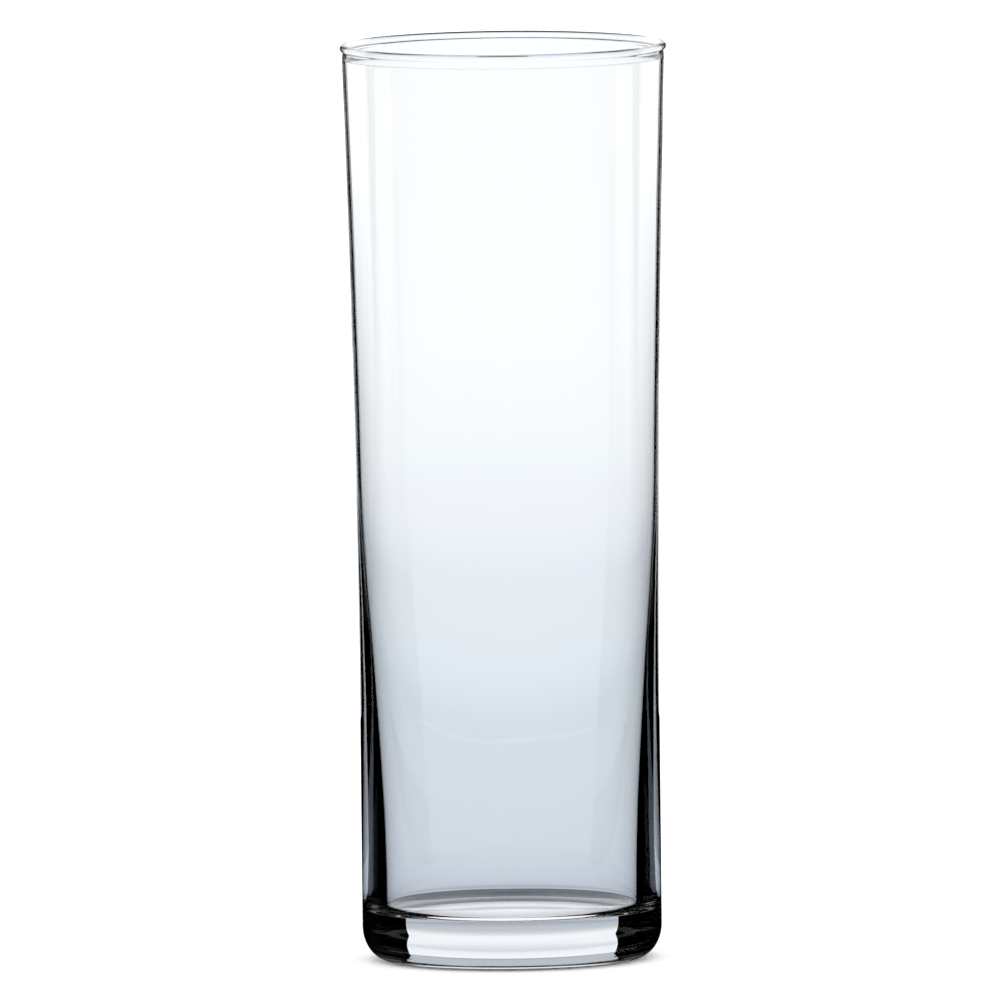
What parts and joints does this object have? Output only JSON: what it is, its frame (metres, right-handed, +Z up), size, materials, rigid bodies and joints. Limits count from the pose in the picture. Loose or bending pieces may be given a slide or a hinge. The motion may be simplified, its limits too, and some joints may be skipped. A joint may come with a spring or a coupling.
{
  "type": "highball glass",
  "caption": "Tall, slightly flared clear highball glass with a thin upper wall, a thick lower wall, a heavy solid base, a rounded heel and a fire-polished lip.",
  "frame": {"origin": "centre of the ring that the glass stands on, at table height", "axes": "+Z up along the axis of the glass, towards the mouth; X and Y are alike, as the glass is round"},
  "size_m": [0.058, 0.058, 0.163],
  "materials": {
    "clear_glass": "clear and polished, with a faint cool tint where it is thick"
  },
  "bodies": {
    "root": {"tumbler": "clear_glass"}
  },
  "joints": []
}
